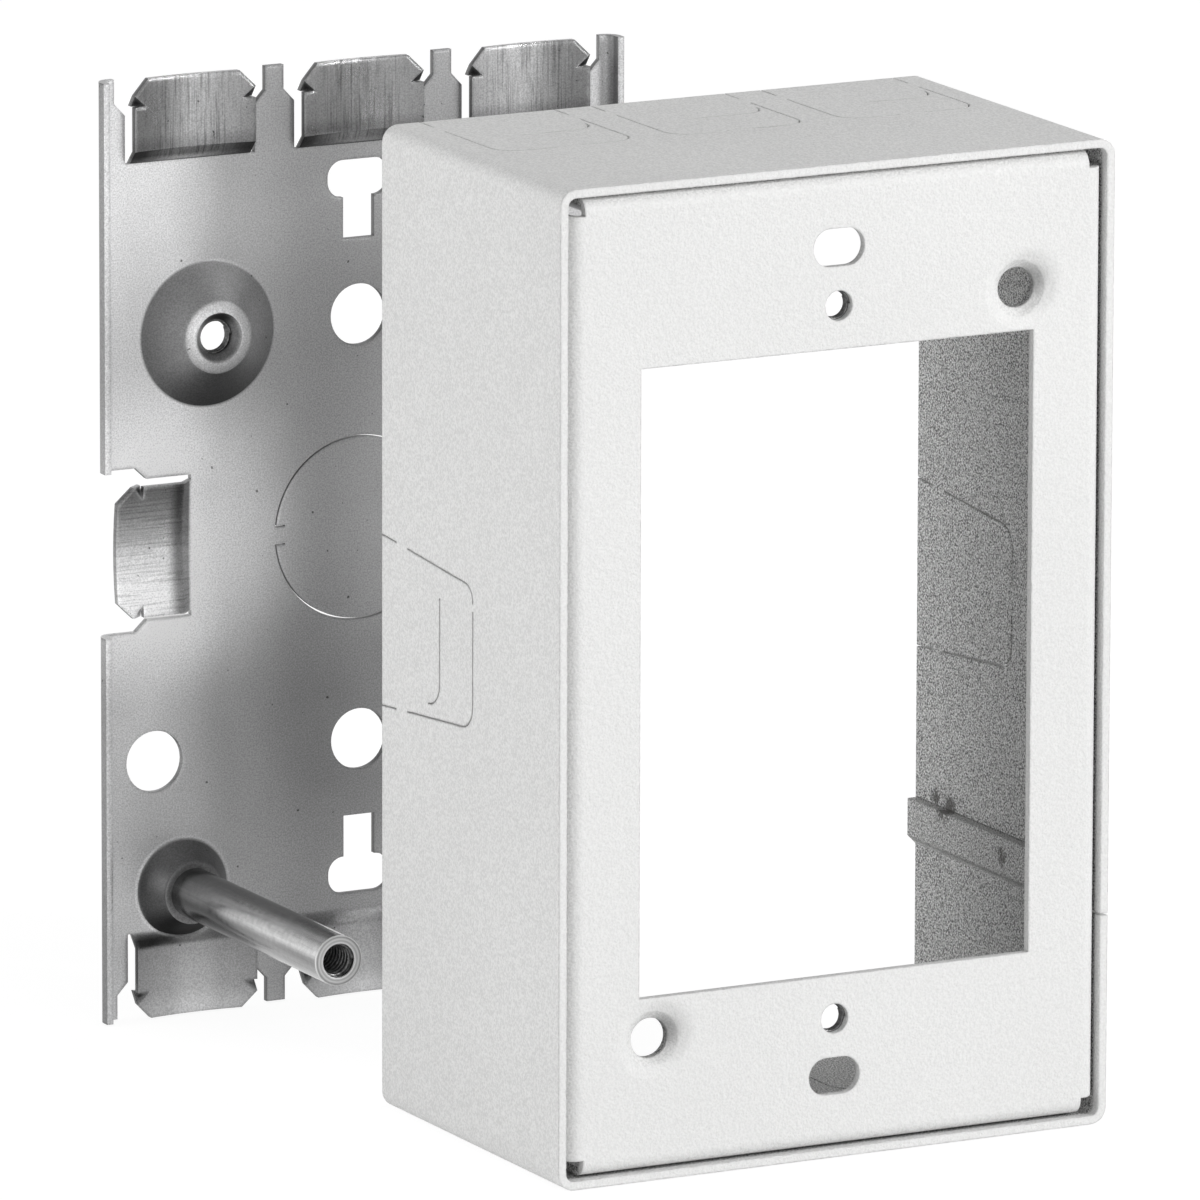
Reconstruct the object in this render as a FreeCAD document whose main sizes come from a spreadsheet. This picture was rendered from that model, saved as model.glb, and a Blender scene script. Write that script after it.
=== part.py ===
import FreeCAD, Part
import math
import os
import Sketcher

# Single-gang surface raceway outlet box, shown opened: the painted steel cover stands in
# front of the galvanised base plate that it screws to. +X is to the right, +Y runs from the
# front of the cover to the wall, +Z is up, and the origin is under the middle of the set.

# Driving sizes in millimetres
DRIVING_SIZES = {
    # cover sleeve: a strip folded into four walls, open to the front and to the wall
    "cover_wide": 71.4,
    "cover_tall": 116.0,
    "cover_deep": 44.4,
    "cover_gauge": 1.0,
    "cover_bend": 2.0,
    "seam_drop": 33.0,
    "seam_gap": 0.3,
    "lap_rise": 4.6,
    "lap_gap": 0.08,
    "lap_behind": 0.6,
    "weld_wide": 3.0,
    "weld_front": 21.0,
    "weld_rear": 7.5,
    # raceway knockouts, outlined by slits that start at the rear edge
    "slit_wide": 0.2,
    "side_knock_high": 20.2,
    "side_knock_nose": 16.6,
    "side_knock_deep": 22.9,
    "side_knock_nest": 14.6,
    "end_knock_wide": 17.4,
    "end_knock_deep": 20.6,
    "end_knock_nest": 12.2,
    "knock_bend": 2.8,
    "knock_bend_tight": 2.0,
    "knock_tie_start": 3.7,
    "knock_tie_stop": 6.4,
    "nose_tie": 3.2,
    "nose_tie_low": 5.4,
    "nose_tie_high": 6.3,
    # face plate set inside the front rim of the sleeve
    "face_gauge": 1.0,
    "face_gap": 0.25,
    "face_recess": 0.15,
    "face_bend": 1.8,
    "face_flange": 6.0,
    "face_notch": 2.0,
    "opening_wide": 50.6,
    "opening_tall": 73.2,
    "device_pitch": 83.3,
    "device_bore": 3.5,
    "device_collar": 1.2,
    "device_collar_wall": 0.8,
    "slot_pitch": 96.8,
    "slot_long": 6.6,
    "slot_high": 4.4,
    "screw_across": 47.0,
    "screw_apart": 83.0,
    "screw_bore": 4.7,
    "dimple_wide": 9.2,
    "dimple_deep": 1.05,
    "dimple_break": 6.6,
    "dimple_dip": 0.27,
    # base plate: flat sheet with two forward lips and a raceway tongue at every opening
    "base_gauge": 0.8,
    "base_clear": 0.3,
    "lip_rise": 2.0,
    "lip_bend": 1.8,
    "tongue_pitch": 22.2,
    "tongue_wide": 15.8,
    "tongue_long": 10.2,
    "tongue_ramp": 1.6,
    "tongue_forward": 1.5,
    "tongue_sag": 0.8,
    "tongue_gap": 0.6,
    "tongue_corner": 1.9,
    "side_inset": 2.0,
    "barb_top": 1.9,
    "barb_high": 1.4,
    "barb_wide": 1.6,
    "barb_deep": 1.1,
    "barb_step": 0.06,
    "mouth_wide": 19.8,
    "mouth_deep": 2.9,
    "mouth_slope": 1.5,
    "knock_round": 22.2,
    "knock_round_tie": 2.0,
    "knock_round_tab": 1.3,
    "lap_relief": 0.5,
    "plate_bore": 7.4,
    "plate_bore_across": 54.2,
    "plate_bore_apart": 51.6,
    "key_head_long": 8.2,
    "key_head_high": 4.5,
    "key_head_bend": 2.0,
    "key_stem_wide": 4.1,
    "key_stem_long": 5.0,
    "key_pitch": 84.6,
    # earth boss: large dome with a tapped collar
    "boss_across": 40.0,
    "boss_apart": 50.6,
    "boss_base": 17.4,
    "boss_crown": 7.9,
    "boss_rise": 3.2,
    "boss_bore": 4.2,
    "boss_collar": 2.6,
    "boss_roll": 0.5,
    "boss_funnel": 0.9,
    # small dome that carries each cover post
    "dome_base": 11.8,
    "dome_crown": 7.6,
    "dome_rise": 3.2,
    # cover posts
    "post_wide": 6.0,
    "post_bore": 4.1,
    "post_bore_deep": 14.0,
    "post_spigot": 4.6,
    "post_rivet": 6.6,
    "post_rivet_high": 0.6,
    # how the opened set stands
    "set_apart": 52.2,
    "set_shift": 12.4,
}

# Share of the gauge by which the corners of a sheet's two faces are apart at a 45 degree bend
BEND_SHARE = math.tan(math.radians(22.5))
# How far a cutting outline runs past the edge that it opens
BEYOND = 1.0

doc = FreeCAD.newDocument("raceway_outlet_box")


class Size:
    """A length as it stands now, with the formula that ties it to the sheet."""

    def __init__(self, value, formula):
        self.value = float(value)
        self.formula = formula

    def __add__(self, other):
        other = as_size(other)
        return Size(self.value + other.value, f"({self.formula} + {other.formula})")

    def __sub__(self, other):
        other = as_size(other)
        return Size(self.value - other.value, f"({self.formula} - {other.formula})")

    def __mul__(self, other):
        other = as_size(other)
        return Size(self.value * other.value, f"({self.formula} * {other.formula})")

    def __truediv__(self, other):
        other = as_size(other)
        return Size(self.value / other.value, f"({self.formula} / {other.formula})")

    def __neg__(self):
        return Size(-self.value, f"(0 - {self.formula})")

    def root(self):
        """The square root."""
        return Size(math.sqrt(self.value), f"sqrt({self.formula})")


def as_size(value):
    """A plain number as a Size that doesn't change."""
    if isinstance(value, Size):
        return value
    return Size(value, repr(float(value)))


def make_sheet():
    """The spreadsheet of driving sizes, with one alias for each."""
    sheet = doc.addObject("Spreadsheet::Sheet", "Sizes")
    for row, (name, value) in enumerate(DRIVING_SIZES.items(), start=1):
        sheet.set(f"A{row}", name)
        sheet.set(f"B{row}", str(value))
        sheet.setAlias(f"B{row}", name)
    doc.recompute()
    return sheet


SHEET = make_sheet()


def cell(name):
    """The size that the sheet keeps under this name."""
    return Size(getattr(SHEET, name), f"Sizes.{name}")


# Sizes worked out from the driving ones
HALF_WIDE = cell("cover_wide") / 2
HALF_TALL = cell("cover_tall") / 2
SLEEVE_INNER_WIDE = HALF_WIDE - cell("cover_gauge")
SLEEVE_INNER_TALL = HALF_TALL - cell("cover_gauge")
FACE_HALF_WIDE = SLEEVE_INNER_WIDE - cell("face_gap")
FACE_HALF_TALL = SLEEVE_INNER_TALL - cell("face_gap")
BASE_HALF_WIDE = SLEEVE_INNER_WIDE - cell("base_clear")
BASE_HALF_TALL = SLEEVE_INNER_TALL - cell("base_clear")
BASE_FRONT = -cell("base_gauge")
FACE_REAR = cell("face_recess") + cell("face_gauge")
LAP_START = cell("face_recess") + cell("face_flange") + cell("lap_behind")
# Closed up, a post ends at the back of the dimple that its screw passes through.
POST_TIP = FACE_REAR + cell("dimple_deep") - cell("cover_deep")
SET_WIDE = HALF_WIDE + cell("set_shift") + BASE_HALF_WIDE
SET_DEEP = cell("cover_deep") + cell("set_apart") + cell("base_gauge")


# Sketch helpers

def new_sketch(body, name, plane, offset=None):
    """An empty sketch on one of the body's own origin planes, moved by sizes if asked."""
    sketch = body.newObject("Sketcher::SketchObject", name)
    support = [item for item in body.Origin.OriginFeatures if item.Role == plane][0]
    sketch.AttachmentSupport = (support, [""])
    sketch.MapMode = "FlatFace"
    for axis, shift in (offset or {}).items():
        shift = as_size(shift)
        sketch.setExpression(f"AttachmentOffset.Base.{axis}", shift.formula)
    doc.recompute()
    return sketch


def bind(sketch, kind, where, size, name):
    """One dimension of a sketch, tied to its formula."""
    index = sketch.addConstraint(Sketcher.Constraint(kind, *where, size.value))
    sketch.renameConstraint(index, name)
    sketch.setExpression(f"Constraints.{name}", size.formula)


def pin_point(sketch, geometry, position, x, y):
    """Hold a point of the sketch at x, y from its origin."""
    mark = f"{geometry}_{position}"
    bind(sketch, "DistanceX", (-1, 1, geometry, position), x, f"across_{mark}")
    bind(sketch, "DistanceY", (-1, 1, geometry, position), y, f"along_{mark}")


def add_circle(sketch, x, y, diameter):
    """A circle of the given diameter about x, y."""
    x, y, radius = as_size(x), as_size(y), as_size(diameter) / 2
    centre = FreeCAD.Vector(x.value, y.value, 0)
    circle = sketch.addGeometry(Part.Circle(centre, FreeCAD.Vector(0, 0, 1), radius.value))
    pin_point(sketch, circle, 3, x, y)
    bind(sketch, "Radius", (circle,), radius, f"radius_{circle}")


def round_corner(before, corner, after, radius):
    """Where a round leaves its two straight edges, and the middle of its arc."""
    towards_before = (before - corner).normalize()
    towards_after = (after - corner).normalize()
    half_angle = towards_before.getAngle(towards_after) / 2
    reach = radius / math.tan(half_angle)
    start = corner + towards_before * reach
    stop = corner + towards_after * reach
    inward = (towards_before + towards_after).normalize()
    centre = corner + inward * (radius / math.sin(half_angle))
    return start, centre - inward * radius, stop


def add_arc(sketch, start, middle, stop):
    """An arc through three points, drawn anticlockwise, and which of its ends is at start."""
    if (middle - start).cross(stop - middle).z > 0:
        return sketch.addGeometry(Part.Arc(start, middle, stop)), 1
    return sketch.addGeometry(Part.Arc(stop, middle, start)), 2


def add_outline(sketch, corners, rounds=None):
    """A closed outline through the corners, with an arc at each corner that rounds names."""
    rounds = rounds or {}
    corners = [(as_size(x), as_size(y)) for x, y in corners]
    points = [FreeCAD.Vector(x.value, y.value, 0) for x, y in corners]
    count = len(points)
    arcs = {}
    for index, radius in rounds.items():
        arcs[index] = round_corner(points[index - 1], points[index], points[(index + 1) % count],
                                   as_size(radius).value)
    lines = []
    for index in range(count):
        following = (index + 1) % count
        start = arcs[index][2] if index in arcs else points[index]
        stop = arcs[following][0] if following in arcs else points[following]
        lines.append(sketch.addGeometry(Part.LineSegment(start, stop)))
    for index, (x, y) in enumerate(corners):
        before, after = lines[index - 1], lines[index]
        if index not in arcs:
            sketch.addConstraint(Sketcher.Constraint("Coincident", before, 2, after, 1))
            pin_point(sketch, after, 1, x, y)
            continue
        arc, first = add_arc(sketch, *arcs[index])
        point = sketch.addGeometry(Part.Point(points[index]), True)
        sketch.addConstraint([
            Sketcher.Constraint("Tangent", before, 2, arc, first),
            Sketcher.Constraint("Tangent", after, 1, arc, 3 - first),
            Sketcher.Constraint("PointOnObject", point, 1, before),
            Sketcher.Constraint("PointOnObject", point, 1, after),
        ])
        pin_point(sketch, point, 1, x, y)
        bind(sketch, "Radius", (arc,), as_size(rounds[index]), f"radius_{arc}")


def add_box(sketch, x_low, x_high, y_low, y_high):
    """A rectangle between two values each way."""
    add_outline(sketch, [(x_low, y_low), (x_high, y_low), (x_high, y_high), (x_low, y_high)])


def add_obround(sketch, x, y, long, high):
    """A slot with round ends that lies along the sketch's x."""
    x, y, radius = as_size(x), as_size(y), high / 2
    reach = long / 2 - radius
    arcs = []
    for side in (-1, 1):
        centre = FreeCAD.Vector(x.value + side * reach.value, y.value, 0)
        circle = Part.Circle(centre, FreeCAD.Vector(0, 0, 1), radius.value)
        start = math.pi / 2 if side < 0 else -math.pi / 2
        arc = sketch.addGeometry(Part.ArcOfCircle(circle, start, start + math.pi))
        pin_point(sketch, arc, 3, x + reach * side, y)
        arcs.append(arc)
    left, right = arcs
    shapes = sketch.Geometry
    low = sketch.addGeometry(Part.LineSegment(shapes[left].EndPoint, shapes[right].StartPoint))
    high_line = sketch.addGeometry(Part.LineSegment(shapes[right].EndPoint, shapes[left].StartPoint))
    sketch.addConstraint([
        Sketcher.Constraint("Tangent", left, 2, low, 1),
        Sketcher.Constraint("Tangent", low, 2, right, 1),
        Sketcher.Constraint("Tangent", right, 2, high_line, 1),
        Sketcher.Constraint("Tangent", high_line, 2, left, 1),
        Sketcher.Constraint("Equal", left, right),
    ])
    bind(sketch, "Radius", (left,), radius, f"radius_{left}")


def add_trough(sketch, wide, front, rear, sag):
    """The section of a bowed strip: two arcs with their ends at y front and y rear."""
    half = wide / 2
    radius = (half * half + sag * sag) / (sag * 2)
    arcs = []
    for y in (front, rear):
        left = FreeCAD.Vector(-half.value, y.value, 0)
        middle = FreeCAD.Vector(0, y.value + sag.value, 0)
        right = FreeCAD.Vector(half.value, y.value, 0)
        arc, first = add_arc(sketch, left, middle, right)
        pin_point(sketch, arc, first, -half, y)
        pin_point(sketch, arc, 3 - first, half, y)
        bind(sketch, "Radius", (arc,), radius, f"radius_{arc}")
        arcs.append((arc, first))
    for end in (0, 1):
        ends = [(arc, first if end == 0 else 3 - first) for arc, first in arcs]
        x = -half.value if end == 0 else half.value
        line = sketch.addGeometry(Part.LineSegment(FreeCAD.Vector(x, front.value, 0),
                                                   FreeCAD.Vector(x, rear.value, 0)))
        sketch.addConstraint([
            Sketcher.Constraint("Coincident", line, 1, *ends[0]),
            Sketcher.Constraint("Coincident", line, 2, *ends[1]),
        ])


# Feature helpers

def volume_of(body):
    """The body's volume before its next feature, nought while it has none."""
    return body.Shape.Volume if body.Tip and not body.Shape.isNull() else 0.0


def finish(body, feature, before, grows):
    """Recompute a feature and see that it added or took away material."""
    doc.recompute()
    change = body.Shape.Volume - before
    if (change > 0) != grows or abs(change) < 1e-6:
        raise ValueError(f"{feature.Name} changed the volume by {change:.4f}")
    return feature


def add_pad(body, sketch, length, backwards=False, both_ways=False):
    """Material of the given length along the sketch's normal, or against it."""
    before = volume_of(body)
    pad = body.newObject("PartDesign::Pad", sketch.Name + "_pad")
    pad.Profile = (sketch, [""])
    pad.Reversed = backwards
    if both_ways:
        pad.SideType = "Symmetric"
    pad.setExpression("Length", as_size(length).formula)
    return finish(body, pad, before, True)


def add_pocket(body, sketch, backwards=False, both_ways=False):
    """A cut through everything along the sketch's normal, against it, or both ways."""
    before = volume_of(body)
    pocket = body.newObject("PartDesign::Pocket", sketch.Name + "_cut")
    pocket.Profile = (sketch, [""])
    pocket.Type = "ThroughAll"
    pocket.Reversed = backwards
    if both_ways:
        pocket.SideType = "Symmetric"
    return finish(body, pocket, before, False)


def add_revolution(body, sketch):
    """The sketch turned once about its own vertical axis."""
    before = volume_of(body)
    turned = body.newObject("PartDesign::Revolution", sketch.Name + "_turned")
    turned.Profile = (sketch, [""])
    turned.ReferenceAxis = (sketch, ["V_Axis"])
    turned.Angle = 360
    return finish(body, turned, before, True)


def new_body(name):
    """An empty body whose label is its own name."""
    body = doc.addObject("PartDesign::Body", name)
    body.Label = name
    return body


def place(item, x, y, z):
    """Put a finished piece at its place in the set."""
    for axis, shift in (("x", x), ("y", y), ("z", z)):
        item.setExpression(f"Placement.Base.{axis}", as_size(shift).formula)
    doc.recompute()


# Cover sleeve

def ring_corners(seam):
    """Corners of the ring from the upper end of the strip round to its lower right corner."""
    return [(HALF_WIDE, seam), (HALF_WIDE, HALF_TALL), (-HALF_WIDE, HALF_TALL),
            (-HALF_WIDE, -HALF_TALL), (HALF_WIDE, -HALF_TALL)]


def inner_corners(seam):
    """The same way back along the inside."""
    return [(SLEEVE_INNER_WIDE, -SLEEVE_INNER_TALL), (-SLEEVE_INNER_WIDE, -SLEEVE_INNER_TALL),
            (-SLEEVE_INNER_WIDE, SLEEVE_INNER_TALL), (SLEEVE_INNER_WIDE, SLEEVE_INNER_TALL),
            (SLEEVE_INNER_WIDE, seam)]


def sleeve_strip(body):
    """The folded strip: its ends butt at the front and lap behind the face plate's flange."""
    gauge, outer = cell("cover_gauge"), cell("cover_bend")
    inner = outer - gauge
    seam = -cell("seam_drop")
    butt = seam - cell("seam_gap")
    joggle = gauge + cell("lap_gap")
    step_low = butt - joggle
    tab_outer = HALF_WIDE - joggle
    tab_inner = tab_outer - gauge
    tab_top = seam + cell("lap_rise")
    bend_lift = gauge * BEND_SHARE
    ends = {
        "front_strip": [(HALF_WIDE, butt), (SLEEVE_INNER_WIDE, butt)],
        "rear_strip": [(HALF_WIDE, step_low), (tab_outer, butt), (tab_outer, tab_top),
                       (tab_inner, tab_top), (tab_inner, butt + bend_lift),
                       (SLEEVE_INNER_WIDE, step_low + bend_lift)],
    }
    starts = {"front_strip": as_size(0), "rear_strip": LAP_START}
    lengths = {"front_strip": LAP_START, "rear_strip": cell("cover_deep") - LAP_START}
    for name, end in ends.items():
        corners = ring_corners(seam) + end + inner_corners(seam)
        first = len(corners) - 5
        rounds = {1: outer, 2: outer, 3: outer, 4: outer}
        rounds.update({first + index: inner for index in range(4)})
        sketch = new_sketch(body, name, "XZ_Plane", {"z": -starts[name]})
        add_outline(sketch, corners, rounds)
        add_pad(body, sketch, lengths[name], backwards=True)


def lap_welds(body):
    """Two welds that bridge the hair gap of the lap joint."""
    height = -cell("seam_drop") + cell("lap_rise") / 2
    inner = SLEEVE_INNER_WIDE - cell("lap_gap")
    half = cell("weld_wide") / 2
    sketch = new_sketch(body, "welds", "YZ_Plane", {"z": inner})
    for depth in (cell("weld_front"), cell("cover_deep") - cell("weld_rear")):
        add_box(sketch, depth - half, depth + half, height - half, height + half)
    add_pad(body, sketch, cell("lap_gap"))


def knock_slits(sketch, at, high, nose, deep, ends):
    """Slits of one knockout: stubs at the rear edge and two hooks that leave a tie at the nose.

    ends gives each hook's side, where it stops along the nose and the round of its corner.
    """
    wide = cell("slit_wide") / 2
    start, stop = cell("knock_tie_start"), cell("knock_tie_stop")
    lean = (high - nose) / (deep * 2)
    for side, tie, bend in ends:
        def edge(run, offset):
            return (high / 2 - lean * run + offset) * side

        stub = [(edge(as_size(-BEYOND), wide), -BEYOND), (edge(start, wide), start),
                (edge(start, -wide), start), (edge(as_size(-BEYOND), -wide), -BEYOND)]
        hook = [(edge(stop, wide), stop), (edge(deep, wide), deep + wide), (tie, deep + wide),
                (tie, deep - wide), (edge(deep, -wide), deep - wide), (edge(stop, -wide), stop)]
        add_outline(sketch, [at(a, as_size(u)) for a, u in stub])
        add_outline(sketch, [at(a, u) for a, u in hook], {1: bend + wide, 4: bend - wide})


def nest_slit(sketch, at, high, nest, tie):
    """The nose of the smaller knockout inside the large one, with one hooked corner."""
    wide = cell("slit_wide") / 2
    bend = cell("knock_bend")
    side = -high / 2 + cell("slit_wide") * 4
    tail = nest - bend - wide
    hook = [(tie, nest + wide), (side - wide, nest + wide), (side - wide, tail),
            (side + wide, tail), (side + wide, nest - wide), (tie, nest - wide)]
    add_outline(sketch, [at(a, u) for a, u in hook], {1: bend + wide, 4: bend - wide})


def side_knockouts(body):
    """One D-shaped knockout in each side wall; they differ only in where the nose is tied."""
    high, nose = cell("side_knock_high"), cell("side_knock_nose")
    deep, nest = cell("side_knock_deep"), cell("side_knock_nest")
    bend, tight = cell("knock_bend"), cell("knock_bend_tight")
    middle_tie = cell("nose_tie") / 2
    low_tie, high_tie = cell("nose_tie_low"), cell("nose_tie_high")

    def at(across, run):
        return (cell("cover_deep") - run, as_size(across))

    left = new_sketch(body, "left_knockout", "YZ_Plane")
    knock_slits(left, at, high, nose, deep, [(-1, low_tie, bend), (1, high_tie, tight)])
    nest_slit(left, at, nose, nest, low_tie)
    add_pocket(body, left, backwards=False)
    right = new_sketch(body, "right_knockout", "YZ_Plane")
    knock_slits(right, at, high, nose, deep, [(-1, -middle_tie, bend), (1, middle_tie, bend)])
    add_pocket(body, right, backwards=True)


def end_knockouts(body):
    """Three knockouts in the top wall and three in the bottom wall, one for each tongue."""
    wide = cell("end_knock_wide")
    tie = cell("nose_tie") / 2

    def at(across, run):
        return (-cell("tongue_pitch") - across, cell("cover_deep") - run)

    sketch = new_sketch(body, "end_knockout", "XY_Plane")
    bend = cell("knock_bend")
    knock_slits(sketch, at, wide, wide, cell("end_knock_deep"), [(-1, -tie, bend), (1, tie, bend)])
    nest_slit(sketch, at, wide, cell("end_knock_nest"), tie)
    cut = add_pocket(body, sketch, both_ways=True)
    before = volume_of(body)
    row = body.newObject("PartDesign::LinearPattern", "end_knockouts")
    row.Originals = [cut]
    row.Direction = (sketch, ["H_Axis"])
    row.Occurrences = 3
    row.setExpression("Length", (cell("tongue_pitch") * 2).formula)
    body.Tip = row
    finish(body, row, before, False)


def make_cover_sleeve():
    """The cover's four walls."""
    body = new_body("cover_sleeve")
    sleeve_strip(body)
    lap_welds(body)
    side_knockouts(body)
    end_knockouts(body)
    place(body, SET_WIDE / 2 - HALF_WIDE, -SET_DEEP / 2, HALF_TALL)
    return body


# Face plate

def flanged_section(half, rear):
    """Corners of a panel with both edges bent back, as pairs of across and depth."""
    gauge, front = cell("face_gauge"), cell("face_recess")
    return [(-half, rear), (-half, front), (half, front), (half, rear),
            (half - gauge, rear), (half - gauge, front + gauge),
            (-half + gauge, front + gauge), (-half + gauge, rear)]


def face_panel(body):
    """The panel with a flange on each side, notched where two bends would meet."""
    outer = cell("face_bend")
    inner = outer - cell("face_gauge")
    rounds = {1: outer, 2: outer, 5: inner, 6: inner}
    rear = cell("face_recess") + cell("face_flange")
    notch = cell("face_notch") * 2
    sides = new_sketch(body, "side_flanges", "XY_Plane")
    add_outline(sides, flanged_section(FACE_HALF_WIDE, rear), rounds)
    add_pad(body, sides, FACE_HALF_TALL * 2 - notch, both_ways=True)
    ends = new_sketch(body, "end_flanges", "YZ_Plane")
    turned = [(depth, across) for across, depth in flanged_section(FACE_HALF_TALL, rear)]
    add_outline(ends, turned, rounds)
    add_pad(body, ends, FACE_HALF_WIDE * 2 - notch, both_ways=True)


def face_openings(body):
    """The device opening, the device holes, the wall plate slots and the two dimples' blanks."""
    half_wide, half_tall = cell("opening_wide") / 2, cell("opening_tall") / 2
    sketch = new_sketch(body, "face_openings", "XZ_Plane")
    add_box(sketch, -half_wide, half_wide, -half_tall, half_tall)
    for side in (-1, 1):
        add_circle(sketch, 0, cell("device_pitch") / 2 * side, cell("device_bore"))
        add_obround(sketch, 0, cell("slot_pitch") / 2 * side, cell("slot_long"), cell("slot_high"))
        add_circle(sketch, cell("screw_across") / 2 * side, cell("screw_apart") / 2 * side,
                   cell("dimple_wide"))
    add_pocket(body, sketch, both_ways=True)


def device_collars(body):
    """A drawn collar behind each device hole, which holds its thread."""
    sketch = new_sketch(body, "device_collars", "XZ_Plane", {"z": -FACE_REAR})
    outer = cell("device_bore") + cell("device_collar_wall") * 2
    for side in (-1, 1):
        height = cell("device_pitch") / 2 * side
        add_circle(sketch, 0, height, outer)
        add_circle(sketch, 0, height, cell("device_bore"))
    add_pad(body, sketch, cell("device_collar"), backwards=True)


def screw_dimples(body):
    """The two dished seats of the cover screws, upper right and lower left."""
    front, rear = cell("face_recess"), FACE_REAR
    deep, dip = cell("dimple_deep"), cell("dimple_dip")
    rim, brink, bore = cell("dimple_wide") / 2, cell("dimple_break") / 2, cell("screw_bore") / 2
    for name, side in (("lower_left", -1), ("upper_right", 1)):
        offset = {"x": cell("screw_across") / 2 * side, "z": cell("screw_apart") / 2 * side}
        sketch = new_sketch(body, "dimple_" + name, "XY_Plane", offset)
        add_outline(sketch, [(rim, front), (rim, rear), (brink, rear + dip), (bore, rear + deep),
                             (bore, front + deep), (brink, front + dip)])
        add_revolution(body, sketch)


def make_face_plate():
    """The front panel of the cover."""
    body = new_body("face_plate")
    face_panel(body)
    face_openings(body)
    device_collars(body)
    screw_dimples(body)
    place(body, SET_WIDE / 2 - HALF_WIDE, -SET_DEEP / 2, HALF_TALL)
    return body


# Base plate

def lipped_sheet(body):
    """The flat sheet with a lip folded forward along each long side."""
    gauge = cell("base_gauge")
    lip = BASE_FRONT - cell("lip_rise")
    outer = cell("lip_bend")
    inner = outer - gauge
    corners = [(-BASE_HALF_WIDE, lip), (-BASE_HALF_WIDE, 0), (BASE_HALF_WIDE, 0),
               (BASE_HALF_WIDE, lip), (BASE_HALF_WIDE - gauge, lip),
               (BASE_HALF_WIDE - gauge, BASE_FRONT), (-BASE_HALF_WIDE + gauge, BASE_FRONT),
               (-BASE_HALF_WIDE + gauge, lip)]
    sketch = new_sketch(body, "lipped_sheet", "XY_Plane")
    add_outline(sketch, corners, {1: outer, 2: outer, 5: inner, 6: inner})
    add_pad(body, sketch, BASE_HALF_TALL * 2, both_ways=True)


def window_outline(tip):
    """The cut round one tongue, as pairs of across and height, for a tongue that ends at tip."""
    slot = cell("tongue_wide") / 2 + cell("tongue_gap")
    mouth = cell("mouth_wide") / 2
    root = tip - cell("tongue_long")
    shoulder = tip - cell("mouth_deep")
    neck = shoulder - cell("mouth_slope")
    over = tip + cell("side_inset") + BEYOND
    right = [(slot, root), (slot, neck), (mouth, shoulder), (mouth, over)]
    left = [(-across, height) for across, height in reversed(right)]
    return right + left


def tongue_windows(body):
    """Windows for three tongues at the top, three at the bottom and one at each side."""
    for name, way in (("top", 1), ("bottom", -1)):
        sketch = new_sketch(body, name + "_windows", "XZ_Plane")
        for column in (-1, 0, 1):
            centre = cell("tongue_pitch") * column
            corners = [(centre + across, height * way)
                       for across, height in window_outline(BASE_HALF_TALL)]
            add_outline(sketch, corners)
        add_pocket(body, sketch, both_ways=True)
    sketch = new_sketch(body, "side_windows", "XZ_Plane")
    for way in (1, -1):
        tip = BASE_HALF_WIDE - cell("side_inset")
        corners = [(height * way, across) for across, height in window_outline(tip)]
        add_outline(sketch, corners)
    add_pocket(body, sketch, both_ways=True)


def plate_holes(body):
    """Round holes, keyholes, and the blanks that the domes fill."""
    sketch = new_sketch(body, "plate_holes", "XZ_Plane")
    half_across, half_apart = cell("plate_bore_across") / 2, cell("plate_bore_apart") / 2
    for side in (-1, 1):
        add_circle(sketch, 0, half_apart * side, cell("plate_bore"))
        add_circle(sketch, half_across * side, half_apart * side, cell("plate_bore"))
        add_circle(sketch, cell("boss_across") / -2 * side, cell("boss_apart") / 2 * side,
                   cell("boss_base"))
        add_circle(sketch, cell("screw_across") / 2 * side, cell("screw_apart") / 2 * side,
                   cell("dome_base"))
        key = keyhole_outline(side)
        bend = cell("key_head_bend")
        add_outline(sketch, key, {2: bend, 3: bend, 4: bend, 5: bend})
    add_pocket(body, sketch, both_ways=True)


def keyhole_outline(side):
    """A keyhole with its wide head towards the end of the plate and its stem to the middle."""
    stem, head = cell("key_stem_wide") / 2, cell("key_head_long") / 2
    middle = cell("key_pitch") / 2
    low, high = middle - cell("key_head_high") / 2, middle + cell("key_head_high") / 2
    foot = low - cell("key_stem_long")
    corners = [(stem, foot), (stem, low), (head, low), (head, high),
               (-head, high), (-head, low), (-stem, low), (-stem, foot)]
    return [(across, height * side) for across, height in corners]


def round_knockout(body):
    """The round knockout in the middle: a ring slit that one tie interrupts, with its tab."""
    radius, wide = cell("knock_round") / 2, cell("slit_wide")
    tie, tab = cell("knock_round_tie") / 2, cell("knock_round_tab")
    ring = new_sketch(body, "round_knockout", "XZ_Plane")
    add_circle(ring, 0, 0, (radius + wide / 2) * 2)
    add_circle(ring, 0, 0, (radius - wide / 2) * 2)
    add_pocket(body, ring, both_ways=True)
    bridge = new_sketch(body, "knockout_tie", "XZ_Plane")
    add_box(bridge, -radius - wide, -radius + wide, -tie, tie)
    add_pad(body, bridge, cell("base_gauge"))
    slits = new_sketch(body, "tie_slits", "XZ_Plane")
    for side in (-1, 1):
        low = (tie + wide / 2) * side - wide / 2
        add_box(slits, -radius, -radius + tab, low, low + wide)
    add_pocket(body, slits, both_ways=True)


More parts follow.
